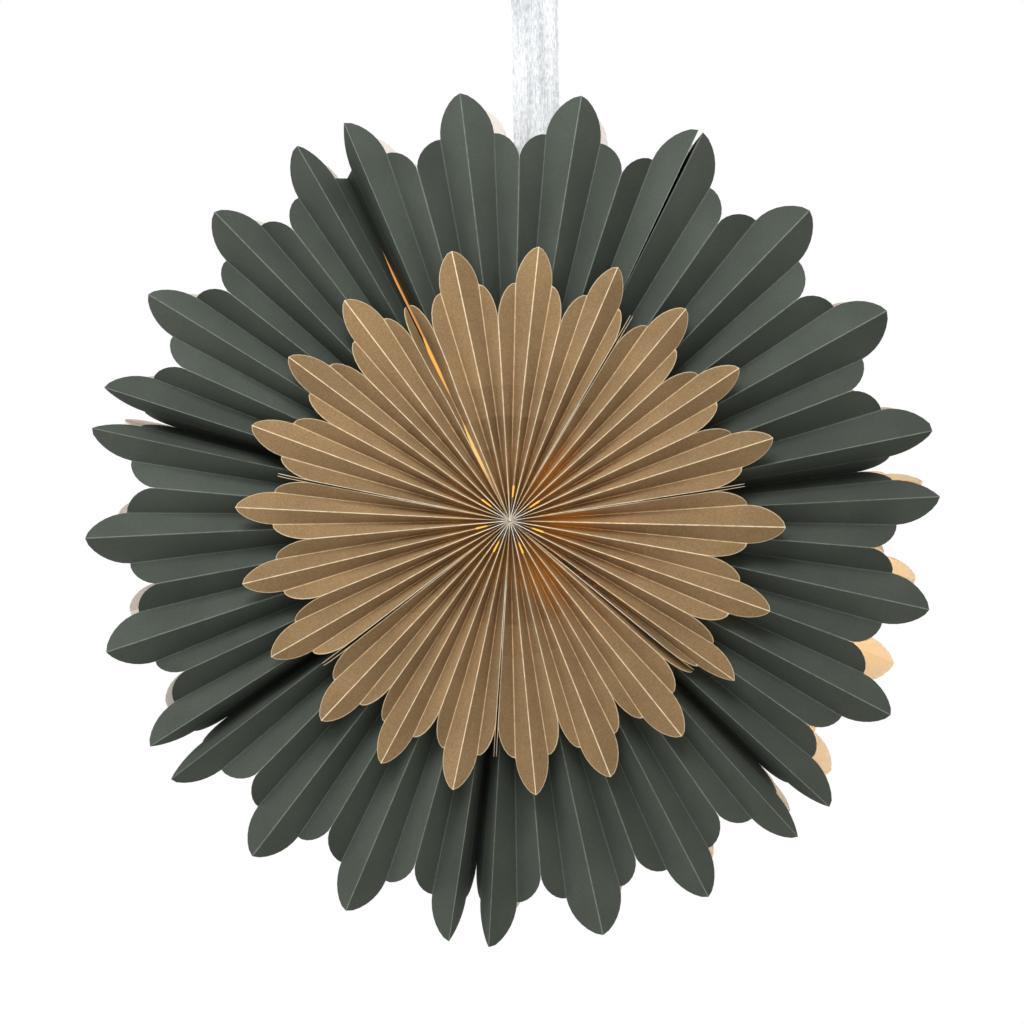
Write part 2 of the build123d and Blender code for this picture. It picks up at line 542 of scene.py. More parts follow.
    def _paint_glow_and_shade(
        self, graph: NodeGraph, patches: list[LitPatch], place: tuple[object, object],
        shown: tuple[object, object],
    ) -> tuple[object, object]:
        """Paint glow and shade at some of the card's patches, standing in for the lamp's light through the
        card.

        Args:
            graph: The printed side's nodes.
            patches: The patches to light.
            place: Panel coordinate and metres from the axis of the star.
            shown: Colour of the card and its painted glow, without these patches.

        Returns:
            The card's colour with painted shade under the patches, and the painted glow there.
        """
        colour, glow = shown
        for patch in patches:
            # Each patch adds painted glow and darkens the card's colour with painted shade
            mask = patch.mask(graph, *place)
            glow = graph.mix(mask, glow, rgba(patch.glow))
            colour = graph.mix(graph.math("MULTIPLY", mask, patch.shade), colour, BLACK)
        return colour, glow

    def _plain_side(self, part: str, base: Colour) -> bpy.types.Material:
        """Make unprinted card, with only its fibres to see.

        Args:
            part: Name of the side.
            base: Its colour.

        Returns:
            The side's material.
        """
        graph = NodeGraph(f"{self.name}_{part}")
        place = graph.add("ShaderNodeTexCoord").outputs["Object"]
        fibre = graph.noise(place, self.grain_scale, FIBRE_DETAIL)
        value = graph.ramp(fibre, *GRAIN_RANGE, 1.0 - self.grain / 2, 1.0 + self.grain / 2)
        return self._finish(graph, graph.shade(rgba(base), value), fibre)


@dataclass(frozen=True)
class VelvetFinish:
    """Silver crushed velvet, streaked along its length where the pile lies different ways."""

    name: str = "crushed_velvet"
    dark: Colour = (0.355, 0.365, 0.376)
    light: Colour = (0.675, 0.680, 0.690)
    streak: Place = (900.0, 900.0, 170.0)
    streak_detail: float = 5.0
    streak_share: float = 0.45
    band: Place = (120.0, 120.0, 9.0)
    band_share: float = 0.40
    crush_scale: float = 700.0
    crush_detail: float = 4.0
    crush_share: float = 0.15
    tone_range: Point = (0.37, 0.63)
    pile_range: Point = (0.3, 0.7)
    roughness: Point = (0.75, 0.55)
    sheen: float = 0.3
    sheen_roughness: float = 0.4
    relief: float = 0.35
    relief_depth: float = 0.0006

    def materials(self) -> list[bpy.types.Material]:
        """Make the ribbon's velvet.

        Returns:
            Its one material.
        """
        graph = NodeGraph(self.name)
        place = graph.add("ShaderNodeTexCoord").outputs["Object"]
        streak = graph.noise(graph.stretch(place, self.streak), 1.0, self.streak_detail)
        band = graph.noise(graph.stretch(place, self.band), 1.0)
        crush = graph.noise(place, self.crush_scale, self.crush_detail)
        pile = graph.math("MULTIPLY", streak, self.streak_share)
        for part, share in ((crush, self.crush_share), (band, self.band_share)):
            pile = graph.math("ADD", pile, graph.math("MULTIPLY", part, share))
        tone = graph.ramp(pile, *self.tone_range, 0.0, 1.0)
        shader = graph.shader
        graph.feed(shader.inputs["Base Color"], graph.mix(tone, rgba(self.dark), rgba(self.light)))
        graph.feed(shader.inputs["Roughness"], graph.ramp(pile, *self.pile_range, *self.roughness))
        shader.inputs["Sheen Weight"].default_value = self.sheen
        shader.inputs["Sheen Roughness"].default_value = self.sheen_roughness
        graph.bump(pile, self.relief, self.relief_depth)
        return [graph.material]


# Panel coordinates of the closing seams, and of the fold that each painted glowing window straddles
CLOSING_SEAM = fan_panel(CLOSING_FAN, 16)
CENTRE_SLIT = fan_panel(CLOSING_FAN, 15)
WINDOW_FOLD = 8

GREEN_CARD = CardFinish(
    name="green_card",
    slot="green_card",
    printed=(0.0616, 0.0719, 0.0582),
    inside=(0.76, 0.71, 0.67),
    edge=(0.055, 0.060, 0.052),
    mountain=(0.185, 0.215, 0.185),
    valley=(0.135, 0.155, 0.133),
    mountain_strength=0.9,
    valley_strength=0.75,
    patches=(
        # Painted glow with painted shade along the closing seam, standing in for the lamp's light through
        # the slit there
        LitPatch(CLOSING_SEAM, 0.80, (0.110, 0.188), taper=0.045),
        LitPatch(CLOSING_SEAM, 0.30, (0.168, 0.256), taper=0.04, glow=(0.80, 0.33, 0.09)),
    ),
)
BACK_CARD = CardFinish(
    name="back_card",
    slot="back_card",
    printed=GREEN_CARD.printed,
    # Inside darker than the front card's: painted shade for the back petals, which the front rosette shades
    inside=(0.67, 0.62, 0.58),
    edge=(0.62, 0.58, 0.53),
    mountain=GREEN_CARD.mountain,
    valley=GREEN_CARD.valley,
    mountain_strength=GREEN_CARD.mountain_strength,
    valley_strength=GREEN_CARD.valley_strength,
)
TAN_CARD = CardFinish(
    name="tan_card",
    slot="tan_card",
    printed=(0.260, 0.169, 0.085),
    inside=(0.86, 0.80, 0.70),
    edge=(0.66, 0.52, 0.34),
    mountain=(0.84, 0.69, 0.47),
    valley=(0.74, 0.57, 0.35),
    mountain_strength=0.95,
    valley_strength=0.8,
    valley_rows=(0.020, 0.070),
    rim_strength=0.5,
    gloss=0.0,
    panel_turn=4.1,
    grain=0.16,
    glow=0.3,
    patches=(
        # Soft painted glow of the lamp through the card, most with painted shade, then painted glow in the
        # small windows and the centre's closing slit
        soft_glow(
            WINDOW_FOLD, PANEL_STEP, (0.004, 0.080), 0.02, (0.048, 0.021, 0.004),
            shade=0.0, soft=0.5, repeat=PANEL_STEP,
        ),
        soft_glow(fan_panel(1, 4), 6.5, (0.008, 0.115), 0.05, (0.190, 0.060, 0.004)),
        soft_glow(fan_panel(2, 4), 7.0, (0.008, 0.112), 0.04, (0.175, 0.055, 0.004)),
        soft_glow(fan_panel(3, 6), 8.0, (0.008, 0.125), 0.05, (0.190, 0.060, 0.004)),
        LitPatch(
            WINDOW_FOLD, 0.45, (0.0187, 0.0290), taper=0.001, repeat=PANEL_STEP, glow=(1.0, 0.57, 0.08)
        ),
        LitPatch(CENTRE_SLIT, 1.0, (0.024, 0.096), taper=0.035, soft_start=0.030, glow=(1.0, 0.58, 0.17)),
    ),
)


@dataclass(frozen=True)
class Station:
    """Depth of the pleats at one distance from the middle of the star."""

    distance: float
    depth: float


@dataclass(frozen=True)
class Cut:
    """Radii that the panels are cut to at the long petals, between petal and lobe, and at the notches."""

    tip: float
    valley: float
    notch: float
    end_share: float = 0.15
    tip_round: float = 0.0050
    tip_lift: float = 0.7
    lobe_fullness: float = 1.75


class Column(NamedTuple):
    """Line of points from a fan's inner edge to its rim, at a share of one panel's width."""

    panel: int
    share: float
    rim: float


class PleatPoint(NamedTuple):
    """Place of a point on a fan's sheet, for the finish to read."""

    panel: float
    radius: float
    from_rim: float


@dataclass
class PleatedFan:
    """One fan: a sheet of card pleated across its length, the folds fanned out round the middle.

    Folds are counted clockwise from the fan's first seam, seen from the front, in degrees.
    """

    node: str
    number: int
    side: Side
    seams: tuple[float, float]
    ridges: tuple[float, ...]
    cut: Cut
    stations: tuple[Station, ...]
    finish: CardFinish
    panel_columns: int = 7
    rows: int = 14
    narrowest: float = 0.0005
    ridge_play: float = 0.06
    valley_play: float = 0.40
    level_play: float = 0.0015
    tight_radius: float = 0.0
    petal_trim: tuple[float, ...] = (0.0, 0.0, 0.0)
    hub: Point = (0.0, 0.0)
    middle_level: float = 0.040
    smooth_angle: float = 9.0
    folds: list[tuple[Fold, float]] = field(default_factory=list)
    play: list[tuple[float, float]] = field(default_factory=list)

    def __post_init__(self) -> None:
        """Lay out the folds, each a little off its ideal place as hand-folded ones are."""
        self.folds = self.head_folds() + self.petal_folds() + self.tail_folds()
        chance = random.Random(f"{self.node} folds")
        plays = {Fold.RIDGE: self.ridge_play, Fold.VALLEY: self.valley_play, Fold.NOTCH: self.valley_play}
        for kind, _ in self.folds:
            turn = plays.get(kind, 0.0)
            rise = self.level_play if turn else 0.0
            self.play.append((chance.uniform(-turn, turn), chance.uniform(-rise, rise)))

    @property
    def bearing(self) -> float:
        """Angle of the fan's middle line."""
        return sum(self.seams) / 2

    @property
    def openings(self) -> tuple[float, float]:
        """Angles from the first and last seam to the nearest petal."""
        return self.ridges[0] - self.seams[0], self.seams[1] - self.ridges[-1]

    @property
    def mountain_parity(self) -> int:
        """0 if the even folds are mountains, 1 if the odd ones are."""
        return [kind for kind, _ in self.folds].index(Fold.RIDGE) % 2

    def first_panel(self) -> int:
        """Panel coordinate of the fan's first edge, different for each fan."""
        return fan_panel(self.number, self.mountain_parity)

    def petal_folds(self) -> list[tuple[Fold, float]]:
        """Lay out the petals, four panels from one ridge to the next.

        Returns:
            Kind and angle of the folds, from the first ridge to the last.
        """
        folds = []
        for ridge, following in zip(self.ridges, self.ridges[1:]):
            for quarter, kind in enumerate((Fold.RIDGE, Fold.VALLEY, Fold.NOTCH, Fold.VALLEY)):
                folds.append((kind, lerp(ridge, following, quarter / 4)))
        return folds + [(Fold.RIDGE, self.ridges[-1])]

    def head_folds(self) -> list[tuple[Fold, float]]:
        """Folds before the first petal."""
        raise NotImplementedError

    def tail_folds(self) -> list[tuple[Fold, float]]:
        """Folds after the last petal."""
        raise NotImplementedError

    def level(self, kind: Fold, station: Station) -> float:
        """How far a fold stands from the star's middle plane at a station."""
        raise NotImplementedError

    def cut_as(self, kind: Fold) -> Fold:
        """The petal fold that a kind of fold is cut like."""
        return kind

    def reach(self, index: int) -> float:
        """Radius that the card is cut to along a fold.

        Args:
            index: Number of the fold, from the fan's first edge.

        Returns:
            The radius.
        """
        kind, angle = self.folds[index]
        if kind is Fold.RIDGE:
            return self.cut.tip + self.petal_trim[self.ridges.index(angle)]
        return self.cut.valley if self.cut_as(kind) is Fold.VALLEY else self.cut.notch

    def station_at(self, distance: float) -> Station:
        """Stand of the pleats at any distance, between the two nearest stations.

        Args:
            distance: Metres from the middle of the star, along the fan's middle line.

        Returns:
            A station with the values for that distance.
        """
        near, far = self.stations[0], self.stations[1]
        for low, high in zip(self.stations, self.stations[1:]):
            if distance >= low.distance:
                near, far = low, high
        share = (distance - near.distance) / (far.distance - near.distance)
        return Station(distance, lerp(near.depth, far.depth, share))

    def fold_point(self, index: int, radius: float) -> Vector:
        """Place on a fold at a radius.

        Args:
            index: Number of the fold, from the fan's first edge.
            radius: Metres from the axis of the star.

        Returns:
            The point on the outer face of the card, in the row frame.
        """
        kind, angle = self.folds[index]
        station = self.station_at(radius * cos(radians(angle - self.bearing)))
        angle += self.edge_shift(index, radius)
        sway, rise = self.play[index]
        looseness = max(0.0, radius - self.tight_radius) / (self.cut.tip - self.tight_radius)
        angle += sway * looseness
        level = self.level(kind, station) + rise * looseness
        share = level / self.middle_level
        turn = radians(angle)
        x = self.hub[0] * share + radius * sin(turn)
        z = self.hub[1] * share + radius * cos(turn)
        return Vector((x, self.side.value * level, z))

    def edge_shift(self, index: int, radius: float) -> float:
        """Degrees that a fold stands off its place at a radius, 0 on a plain fan."""
        return 0.0

    def panel_outline(self, index: int) -> list[Point]:
        """Rounded end of one panel.

        Args:
            index: Number of the panel, from the fan's first edge.

        Returns:
            (share of the panel's width, radius) pairs, from one fold to the next.
        """
        (kind, angle), (next_kind, next_angle) = self.folds[index:index + 2]
        reach, next_reach = self.reach(index), self.reach(index + 1)
        low, high = sorted((reach, next_reach))
        width = max(self.narrowest, (low + high) / 2 * radians(next_angle - angle))
        has_tip = Fold.RIDGE in (kind, next_kind)
        outline = self.petal_end(low, high, width) if has_tip else self.lobe_end(low, high)
        if reach < next_reach:
            outline = [(1.0 - share, radius) for share, radius in reversed(outline)]
        return outline

    def petal_end(self, low: float, high: float, width: float) -> list[Point]:
        """Half a petal's end: an arc that leaves the shorter fold nearly along it, up to the blunt tip.

        Args:
            low: Radius at the shorter fold.
            high: Radius at the ridge.
            width: Metres from fold to ridge.

        Returns:
            (share of the panel's width from the ridge, radius) pairs.
        """
        tip_round = min(self.cut.tip_round, width / 4)
        high += tip_round * self.cut.tip_lift
        chord = atan2(width, high - low)
        leave = self.cut.end_share * chord
        arrive = 2 * chord - leave
        bend = hypot(width, high - low) / (2 * sin((arrive - leave) / 2))
        outline = []
        for column in range(self.panel_columns + 1):
            turn = lerp(arrive, leave, column / self.panel_columns)
            share = 1.0 - bend * (cos(leave) - cos(turn)) / width
            aside = share * width
            blunt = (hypot(aside, tip_round) - aside) * min(1.0, 1.0 / tan(arrive))
            outline.append((share, low + bend * (sin(turn) - sin(leave)) - blunt))
        return outline

    def lobe_end(self, low: float, high: float) -> list[Point]:
        """A lobe's end: a full quarter round, squarer than a circle's.

        Args:
            low: Radius at the shorter fold.
            high: Radius at the longer one.

        Returns:
            (share of the panel's width from the longer fold, radius) pairs.
        """
        power = 2 / self.cut.lobe_fullness
        turns = [pi / 2 * column / self.panel_columns for column in range(self.panel_columns + 1)]
        return [(sin(turn) ** power, low + (high - low) * max(0.0, cos(turn)) ** power) for turn in turns]

    def row_radius(self, row: int, inner: float, outer: float) -> float:
        """Radius of one row of points, from the inner edge to the rounded rim."""
        return lerp(inner, outer, row / self.rows)

    def build(self) -> bpy.types.Object:
        """Pleat, cut and thicken the fan's sheet.

        Returns:
            The finished piece, dressed and riding on the star.
        """
        panels = len(self.folds) - 1
        columns = [Column(index, *end) for index in range(panels) for end in self.panel_outline(index)[:-1]]
        columns.append(Column(panels - 1, *self.panel_outline(panels - 1)[-1]))
        deselect_all()
        bpy.ops.mesh.primitive_grid_add(x_subdivisions=len(columns) - 1, y_subdivisions=self.rows, size=2)
        piece = bpy.context.object
        piece.name = f"{self.node}_card"
        piece.data.name = piece.name
        self.write_places(piece.data, self.pleat_points(piece.data, columns))
        if self.side is Side.BACK:
            bpy.ops.object.mode_set(mode="EDIT")
            bpy.ops.mesh.select_all(action="SELECT")
            bpy.ops.mesh.flip_normals()
            bpy.ops.object.mode_set(mode="OBJECT")
        for material in card_materials(self.finish):
            piece.data.materials.append(material)
        apply_modifier(
            piece, "SOLIDIFY", thickness=PAPER_THICKNESS, offset=-1.0,
            material_offset=INSIDE_SLOT, material_offset_rim=EDGE_SLOT,
        )
        bpy.ops.object.shade_smooth_by_angle(angle=radians(self.smooth_angle))
        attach(piece, BODY)
        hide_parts(self.node)
        return piece

    def pleat_points(self, mesh: bpy.types.Mesh, columns: list[Column]) -> list[PleatPoint]:
        """Move the flat grid's points onto the pleated sheet.

        Args:
            mesh: A grid with one line of points for each of columns.
            columns: The sheet's columns, from the first edge to the last.

        Returns:
            Every point's place on the sheet, the mountains at even panel coordinates.
        """
        last = len(columns) - 1
        start = self.first_panel()
        turns = [self.column_turn(column) for column in columns]
        leans = self.rim_leans(columns, turns)
        places = []
        for vertex in mesh.vertices:
            number = round((vertex.co.x + 1) / 2 * last)
            index, share, rim = columns[number]
            row = round((vertex.co.y + 1) / 2 * self.rows)
            inner = self.stations[0].distance / cos(radians(turns[number] - self.bearing))
            radius = self.row_radius(row, inner, rim)
            vertex.co = self.fold_point(index, radius).lerp(self.fold_point(index + 1, radius), share)
            places.append(PleatPoint(start + index + share, radius, (rim - radius) * leans[number]))
        return places

    def column_turn(self, column: Column) -> float:
        """Angle of a column, between the two folds beside it."""
        return lerp(self.folds[column.panel][1], self.folds[column.panel + 1][1], column.share)

    def rim_leans(self, columns: list[Column], turns: list[float]) -> list[float]:
        """How much the cut rim leans at each column.

        Args:
            columns: The sheet's columns.
            turns: Their angles.

        Returns:
            Distance straight across to the rim as a share of the distance along the column.
        """
        leans = []
        for number, column in enumerate(columns):
            low, high = max(0, number - 1), min(len(columns) - 1, number + 1)
            width = max(self.narrowest, column.rim * radians(turns[high] - turns[low]))
            leans.append(cos(atan2(columns[high].rim - columns[low].rim, width)))
        return leans

    def write_places(self, mesh: bpy.types.Mesh, places: list[PleatPoint]) -> None:
        """Keep every point's place in the piece's own map and attribute, for its finish to read.

        Args:
            mesh: The pleated grid.
            places: Every point's place on the sheet.
        """
        layer = mesh.uv_layers[0]
        layer.name = PLEAT_MAP
        for loop in mesh.loops:
            place = places[loop.vertex_index]
            layer.data[loop.index].uv = (place.panel, place.radius)
        rim = mesh.attributes.new(RIM_DISTANCE, "FLOAT", "POINT")
        for value, place in zip(rim.data, places):
            value.value = place.from_rim


@dataclass
class RosetteFan(PleatedFan):
    """Fan of the front or back rosette, with an end wall of two panels at each seam."""

    wall_share: float = 0.4
    narrow_seam: float = 1.0
    narrow_trim: float = 0.010
    narrow_lean: float = 0.20
    narrow_rows: Point = (0.200, 0.350)
    petal_trim: tuple[float, ...] = (-0.0003, -0.0018, -0.0018, 0.0016)

    def head_folds(self) -> list[tuple[Fold, float]]:
        """Edge and fold of the first end wall."""
        return [(Fold.EDGE, self.seams[0]), (Fold.WALL, self.seams[0] + self.openings[0] * self.wall_share)]

    def tail_folds(self) -> list[tuple[Fold, float]]:
        """Fold and edge of the last end wall."""
        return [(Fold.WALL, self.seams[1] - self.openings[1] * self.wall_share), (Fold.EDGE, self.seams[1])]

    def level(self, kind: Fold, station: Station) -> float:
        """Mountains and valleys lie either side of the middle level, and walls reach to the joint.

        Args:
            kind: The fold's kind.
            station: Stand of the pleats there.

        Returns:
            Metres from the star's middle plane.
        """
        ridge = self.middle_level + station.depth / 2
        edge = PAPER_THICKNESS + GLUE_GAP / 2
        levels = {Fold.VALLEY: ridge - station.depth, Fold.WALL: (ridge + edge) / 2, Fold.EDGE: edge}
        return levels.get(kind, ridge)

    def cut_as(self, kind: Fold) -> Fold:
        """The end wall is cut as a petal's half and a lobe are."""
        return {Fold.WALL: Fold.VALLEY, Fold.EDGE: Fold.NOTCH}.get(kind, kind)

    def reach(self, index: int) -> float:
        """A wall at a narrow seam is nearly as long as its petal, and the closing edges are long too.

        Args:
            index: Number of the fold, from the fan's first edge.

        Returns:
            The radius.
        """
        kind = self.folds[index][0]
        opening = self.openings[0] if index < WALL_FOLDS else self.openings[1]
        if kind is Fold.WALL and opening < self.narrow_seam:
            return self.cut.tip - self.narrow_trim
        closing = (self.number, index) in ((0, 0), (CLOSING_FAN, len(self.folds) - 1))
        return self.cut.valley if closing else super().reach(index)

    def edge_shift(self, index: int, radius: float) -> float:
        """The petals beside a narrow seam lean on each other below their ends.

        Args:
            index: Number of the fold, from the fan's first edge.
            radius: Metres from the axis of the star.

        Returns:
            Degrees that the fold stands off its place there.
        """
        lean = self.narrow_lean * (1.0 - share_of(radius, self.narrow_rows))
        to_last = len(self.folds) - 1 - index
        if index == WALL_FOLDS and self.openings[0] < self.narrow_seam:
            return -lean
        return lean if to_last == WALL_FOLDS and self.openings[1] < self.narrow_seam else 0.0


@dataclass
class CentreFan(PleatedFan):
    """Fan of the centre rosette, with a glue tab at each seam. Its light window is not cut: it is painted
    glow in its finish.
    """

    middle_level: float = 0.060
    seat_levels: Point = (0.052, 0.046)
    seat_distances: Point = (0.100, 0.355)
    tab_share: float = 0.03
    widest_lobe: float = 0.28
    groove_rows: Point = (0.045, 0.125)
    hub: Point = (-0.0014, -0.0022)
    inner_rows: tuple[float, ...] = (0.001, 0.011, 0.019, 0.027, 0.042, 0.060, 0.085, 0.110, 0.135)
    gap_turn: float = 0.5
    gap_rows: Point = (0.121, 0.131)
    groove_turn: float = 0.25
    groove_turn_rows: Point = (0.105, 0.125)

    def head_folds(self) -> list[tuple[Fold, float]]:
        """Lay out the first tab and valley.

        Returns:
            Kind and angle of the tab's edge, its fold and the valley.
        """
        first = self.ridges[0]
        step = min(self.widest_lobe * (self.ridges[1] - first), self.openings[0] * (1 - self.tab_share) / 2)
        return [(Fold.EDGE, self.seams[0]), (Fold.HEM, first - 2 * step), (Fold.VALLEY, first - step)]

    def tail_folds(self) -> list[tuple[Fold, float]]:
        """Lay out the last valley and tab.

        Returns:
            Kind and angle of the valley, the tab's fold and its edge.
        """
        last = self.ridges[-1]
        step = min(self.widest_lobe * (last - self.ridges[-2]), self.openings[1] * (1 - self.tab_share) / 2)
        return [(Fold.VALLEY, last + step), (Fold.HEM, last + 2 * step), (Fold.EDGE, self.seams[1])]

    def level(self, kind: Fold, station: Station) -> float:
        """Mountains and valleys lie either side of the middle level, and tabs reach the front rosette.

        Args:
            kind: The fold's kind.
            station: Stand of the pleats there.

        Returns:
            Metres from the star's middle plane.
        """
        ridge = self.middle_level + station.depth / 2
        near, far = self.seat_distances
        seat = lerp(*self.seat_levels, (station.distance - near) / (far - near))
        seat += GLUE_GAP + PAPER_THICKNESS
        groove = share_of(station.distance, self.groove_rows)
        levels = {Fold.VALLEY: ridge - station.depth, Fold.EDGE: lerp(ridge, seat, groove)}
        return levels.get(kind, ridge)

    def cut_as(self, kind: Fold) -> Fold:
        """A tab is cut as a lobe is, shortest at its fold."""
        return {Fold.HEM: Fold.NOTCH, Fold.EDGE: Fold.VALLEY}.get(kind, kind)

    def edge_shift(self, index: int, radius: float) -> float:
        """Tabs turn under their folds, and the first and last fan part where the star is closed.

        Args:
            index: Number of the fold, from the fan's first edge.
            radius: Metres from the axis of the star.

        Returns:
            Degrees that the fold stands off its place there.
        """
        to_last = len(self.folds) - 1 - index
        closing = self.number == (0 if index < to_last else CLOSING_FAN)
        if min(index, to_last) > (1 if closing else 0):
            return 0.0
        rows = self.gap_rows if closing else self.groove_turn_rows
        turn = (self.gap_turn if closing else self.groove_turn) * share_of(radius, rows)
        return turn if index < to_last else -turn

    def row_radius(self, row: int, inner: float, outer: float) -> float:
        """Fixed rows round the tightly folded middle, then even rows out to the rim.

        Args:
            row: Number of the row, from the inner edge.
            inner: Radius of a plain fan's inner edge, not used here.
            outer: Radius of the rim.

        Returns:
            The row's radius.
        """
        fixed = len(self.inner_rows) - 1
        if row <= fixed:
            return self.inner_rows[row]
        return lerp(self.inner_rows[-1], outer, (row - fixed) / (self.rows - fixed))


_CARD_MATERIALS: dict[str, list[bpy.types.Material]] = {}


def card_materials(finish: CardFinish) -> list[bpy.types.Material]:
    """Make a finish's materials once, for all its fans to share.

    Args:
        finish: The card's finish.

    Returns:
        Materials of the printed side, the inside and the cut edge.
    """
    if finish.name not in _CARD_MATERIALS:
        _CARD_MATERIALS[finish.name] = finish.materials()
    return _CARD_MATERIALS[finish.name]


def seam_pairs(seams: tuple[float, ...]) -> list[tuple[float, float]]:
    """First and last seam of each fan, clockwise."""
    return list(zip(seams, (*seams[1:], seams[0] + 360)))


ROSETTE_SEAMS = (-25.9, 25.6, 82.5, 134.9, 185.8, 235.0, 285.0)
ROSETTE_CUT = Cut(tip=0.350, valley=0.317, notch=0.292)
ROSETTE_STATIONS = (Station(0.100, 0.024), Station(0.355, 0.012))
FRONT_RIDGES = (
    (-23.1, -7.0, 9.4, 25.75),
    (26.3, 44.1, 61.15, 78.3),
    (87.2, 102.4, 117.5, 132.3),
    (138.15, 152.55, 167.7, 183.15),
    (188.4, 202.9, 217.45, 232.55),
    (237.7, 251.6, 267.2, 282.0),
    (287.7, 301.6, 315.8, 330.0),
)
BACK_HUB = (0.006, 0.005)
BACK_RIDGES = (
    (-22.8, -5.75, 10.2, 25.6),
    (26.6, 44.0, 60.6, 77.7),
    (85.8, 100.0, 112.2, 130.8),
    (138.0, 152.3, 167.2, 182.7),
    (188.9, 203.1, 217.6, 232.3),
    (240.95, 255.55, 269.1, 283.0),
    (287.9, 301.7, 315.7, 329.6),
)
CENTRE_SEAMS = (-25.7, 30.7, 81.5, 129.5, 183.7, 232.4, 281.0)
CENTRE_CUT = Cut(tip=0.2235, valley=0.193, notch=0.161)
CENTRE_STATIONS = (Station(0.004, 0.0165), Station(0.060, 0.0125), Station(0.2285, 0.0052))
CENTRE_RIDGES = (
    (-12.2, 5.95, 23.05),
    (39.8, 56.4, 72.6),
    (91.4, 109.25, 125.5),
    (141.45, 158.6, 174.6),
    (192.0, 208.0, 223.3),
    (240.3, 256.6, 272.75),
    (290.2, 306.5, 323.05),
)


@dataclass
class StarBody:
    """The three rosettes, each of seven glued fans."""

    rosette_seams: tuple[float, ...] = ROSETTE_SEAMS
    centre_seams: tuple[float, ...] = CENTRE_SEAMS

    def build(self) -> list[bpy.types.Object]:
        """Build the centre, front and back rosette.

        Returns:
            The finished fans.
        """
        pieces = []
        centre_front = -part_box("centre_fan_1")[0][1]
        centre_level = centre_front - CENTRE_STATIONS[0].depth / 2
        for number, seams in enumerate(seam_pairs(self.centre_seams)):
            pieces.append(CentreFan(
                f"centre_fan_{number + 1}", number, Side.FRONT, seams, CENTRE_RIDGES[number], CENTRE_CUT,
                CENTRE_STATIONS, TAN_CARD, middle_level=centre_level,
            ).build())
        for number, seams in enumerate(seam_pairs(self.rosette_seams)):
            pieces.append(RosetteFan(
                f"front_fan_{number + 1}", number, Side.FRONT, seams, FRONT_RIDGES[number], ROSETTE_CUT,
                ROSETTE_STATIONS, GREEN_CARD, tight_radius=CENTRE_CUT.valley,
            ).build())
            pieces.append(RosetteFan(
                f"back_fan_{number + 1}", number, Side.BACK, seams, BACK_RIDGES[number], ROSETTE_CUT,
                ROSETTE_STATIONS, BACK_CARD, hub=BACK_HUB,
            ).build())
        return pieces


@dataclass
class HangingRibbon:
    """Flat velvet ribbon, glued inside the front rosette and sewn in a loop at its upper end."""

    node: str = "hanging_ribbon"
    width: float = 0.038
    thickness: float = 0.0008
    offset: float = 0.026
    tilt: float = 1.0
    foot: float = 0.272
    neck: float = 0.452
    lap: float = 0.028
    loop_radius: float = 0.014
    loop_rise: float = 0.034
    step: float = 0.003
    columns: int = 14
    ripple: float = 0.0004
    cloth_share: float = 0.9
    smooth_angle: float = 40.0
    finish: VelvetFinish = field(default_factory=VelvetFinish)

    def path(self) -> list[Point]:
        """Side view of the ribbon.

        Returns:
            (depth, height) points, from the foot round the loop to the lap's end.
        """
        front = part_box("hanging_ribbon")[0][1] + self.loop_radius
        strip = front + self.thickness / 2
        lap = strip + self.thickness
        crown = self.neck + self.loop_rise
        sink = self.loop_radius / self.loop_rise
        spread = self.loop_radius * sqrt(1 - sink * sink)
        touch = crown - sink * self.loop_radius
        arc_start = atan2(touch - crown, -spread) % (2 * pi)
        arc_end = atan2(touch - crown, spread)
        points = self.run((strip, self.foot), (strip, self.neck))
        points += self.run((strip, self.neck), (strip - spread, touch))[1:]
        steps = round((arc_start - arc_end) * self.loop_radius / self.step)
        for index in range(1, steps + 1):
            turn = lerp(arc_start, arc_end, index / steps)
            points.append((strip + self.loop_radius * cos(turn), crown + self.loop_radius * sin(turn)))
        points += self.run((strip + spread, touch), (lap, self.neck))[1:]
        return points + self.run((lap, self.neck), (lap, self.neck - self.lap))[1:]

    def run(self, start: Point, end: Point) -> list[Point]:
        """Evenly spaced points of a straight run.

        Args:
            start: Its first point.
            end: Its last point.

        Returns:
            The points, both ends among them.
        """
        steps = max(2, round(hypot(end[0] - start[0], end[1] - start[1]) / self.step))
        shares = [index / steps for index in range(steps + 1)]
        return [(lerp(start[0], end[0], share), lerp(start[1], end[1], share)) for share in shares]

    def build(self) -> bpy.types.Object:
        """Lay a strip along the path and give it the velvet's thickness.

        Returns:
            The finished ribbon.
        """
        path = self.path()
        deselect_all()
        bpy.ops.mesh.primitive_grid_add(x_subdivisions=self.columns, y_subdivisions=len(path) - 1, size=2)
        piece = bpy.context.object
        piece.name = "hanging_ribbon_velvet"
        piece.data.name = piece.name
        chance = random.Random("ribbon ripple")
        ripples = [chance.uniform(-self.ripple, self.ripple) for _ in path]
        lean = radians(self.tilt)
        for vertex in piece.data.vertices:
            row = round((vertex.co.y + 1) / 2 * (len(path) - 1))
            depth, height = path[row]
            across = vertex.co.x * (self.width / 2 + ripples[row])
            vertex.co = Vector((
                self.offset + across * cos(lean) - height * sin(lean),
                depth,
                height * cos(lean) + across * sin(lean),
            ))
        for material in self.finish.materials():
            piece.data.materials.append(material)
        apply_modifier(piece, "SOLIDIFY", thickness=self.thickness * self.cloth_share, offset=0.0)
        bpy.ops.object.shade_smooth_by_angle(angle=radians(self.smooth_angle))
        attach(piece, BODY)
        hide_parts(self.node)
        return piece


